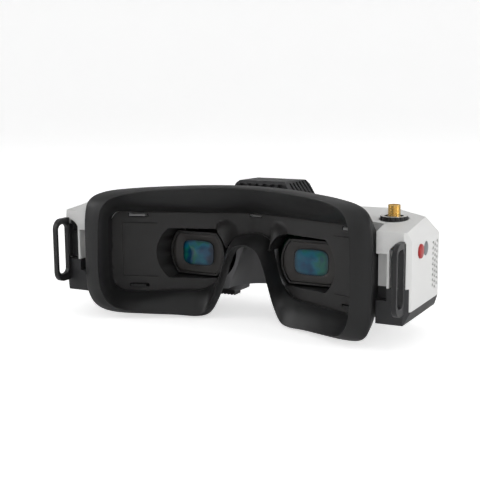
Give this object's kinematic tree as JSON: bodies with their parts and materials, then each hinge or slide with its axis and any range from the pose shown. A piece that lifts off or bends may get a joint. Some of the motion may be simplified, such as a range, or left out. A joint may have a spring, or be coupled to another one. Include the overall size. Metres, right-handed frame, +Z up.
{
  "type": "fpv goggles",
  "caption": "Wide shallow video goggles with a cupped faceplate, twin sliding eyepieces, side strap loops, a top fan housing and a threaded antenna connector on one pod.",
  "frame": {"origin": "middle of the footprint at the height of the faceplate's lowest edge, with the goggles held level as worn", "axes": "+X to the wearer's right, +Y the way the wearer looks, +Z up"},
  "size_m": [0.1948, 0.0864, 0.0715],
  "materials": {
    "white_plastic": "satin",
    "charcoal_plastic": "satin",
    "gloss_visor": "gloss",
    "black_plastic": "satin",
    "grey_plastic": "satin",
    "dark_plastic": "satin",
    "inner_plastic": "matte",
    "steel": "satin",
    "circuit_board": "satin",
    "gold_plated_brass": "polished",
    "white_insulator": "satin",
    "red_plastic": "gloss",
    "button_grey": "satin",
    "coated_glass": "polished",
    "display_glass": "gloss"
  },
  "bodies": {
    "housing": {"upper_shell": "white_plastic", "lower_shell": "charcoal_plastic", "front_visor": "gloss_visor", "fan_cover": "charcoal_plastic", "faceplate": "black_plastic", "faceplate_clips": "grey_plastic", "inner_panel": "dark_plastic", "strap_loop_left": "dark_plastic", "strap_loop_right": "dark_plastic", "ipd_rails": "steel", "rail_blocks": "inner_plastic", "main_board": "circuit_board", "board_chips": "inner_plastic", "receiver_board": "circuit_board", "receiver_shield": "steel", "power_board": "circuit_board", "fan_frame": "inner_plastic", "top_antenna_connector": "gold_plated_brass", "front_antenna_connector": "gold_plated_brass", "antenna_insulators": "white_insulator", "antenna_contacts": "gold_plated_brass", "dial_encoder": "inner_plastic", "record_switch": "inner_plastic", "power_switch": "inner_plastic", "power_jack": "inner_plastic", "power_pin": "steel", "audio_jack": "inner_plastic", "video_socket": "steel", "card_slot": "steel", "shell_screws": "steel", "loop_screws": "steel"},
    "left_eyepiece": {"eyepiece_left": "dark_plastic", "window_mask_left": "inner_plastic", "lens_left": "coated_glass", "field_lens_left": "coated_glass", "display_left": "display_glass", "display_board_left": "circuit_board", "ipd_knob_left": "dark_plastic"},
    "right_eyepiece": {"eyepiece_right": "dark_plastic", "window_mask_right": "inner_plastic", "lens_right": "coated_glass", "field_lens_right": "coated_glass", "display_right": "display_glass", "display_board_right": "circuit_board", "ipd_knob_right": "dark_plastic"},
    "record_button": {"record_button": "red_plastic"},
    "power_button": {"power_button": "button_grey"},
    "channel_dial": {"channel_dial": "white_plastic"},
    "fan_rotor": {"fan_rotor": "inner_plastic"},
    "receiver_cover": {"receiver_cover": "charcoal_plastic"}
  },
  "joints": [
    {"name": "left_eyepiece_slide", "type": "slide", "parent": "housing", "child": "left_eyepiece", "axis": [-1, 0, 0], "range_m": [-0.0038, 0.0012]},
    {"name": "right_eyepiece_slide", "type": "slide", "parent": "housing", "child": "right_eyepiece", "axis": [1, 0, 0], "range_m": [-0.0038, 0.0012]},
    {"name": "record_button_press", "type": "slide", "parent": "housing", "child": "record_button", "axis": [-1, 0, 0], "range_m": [0, 0.0007], "stiffness_N_per_m": 500, "springref_m": -0.001},
    {"name": "power_button_press", "type": "slide", "parent": "housing", "child": "power_button", "axis": [-1, 0, 0], "range_m": [0, 0.0007], "stiffness_N_per_m": 500, "springref_m": -0.001},
    {"name": "channel_dial_turn", "type": "hinge", "parent": "housing", "child": "channel_dial", "pos_m": [0.0806, -0.00565, 0.0592], "axis": [0, 0, 1], "continuous": true},
    {"name": "fan_spin", "type": "hinge", "parent": "housing", "child": "fan_rotor", "pos_m": [0, 0.02825, 0.0642], "axis": [0, 0, 1], "continuous": true},
    {"name": "receiver_cover_pull", "type": "slide", "parent": "housing", "child": "receiver_cover", "axis": [0, 1, 0], "range_m": [0, 0.02]}
  ]
}
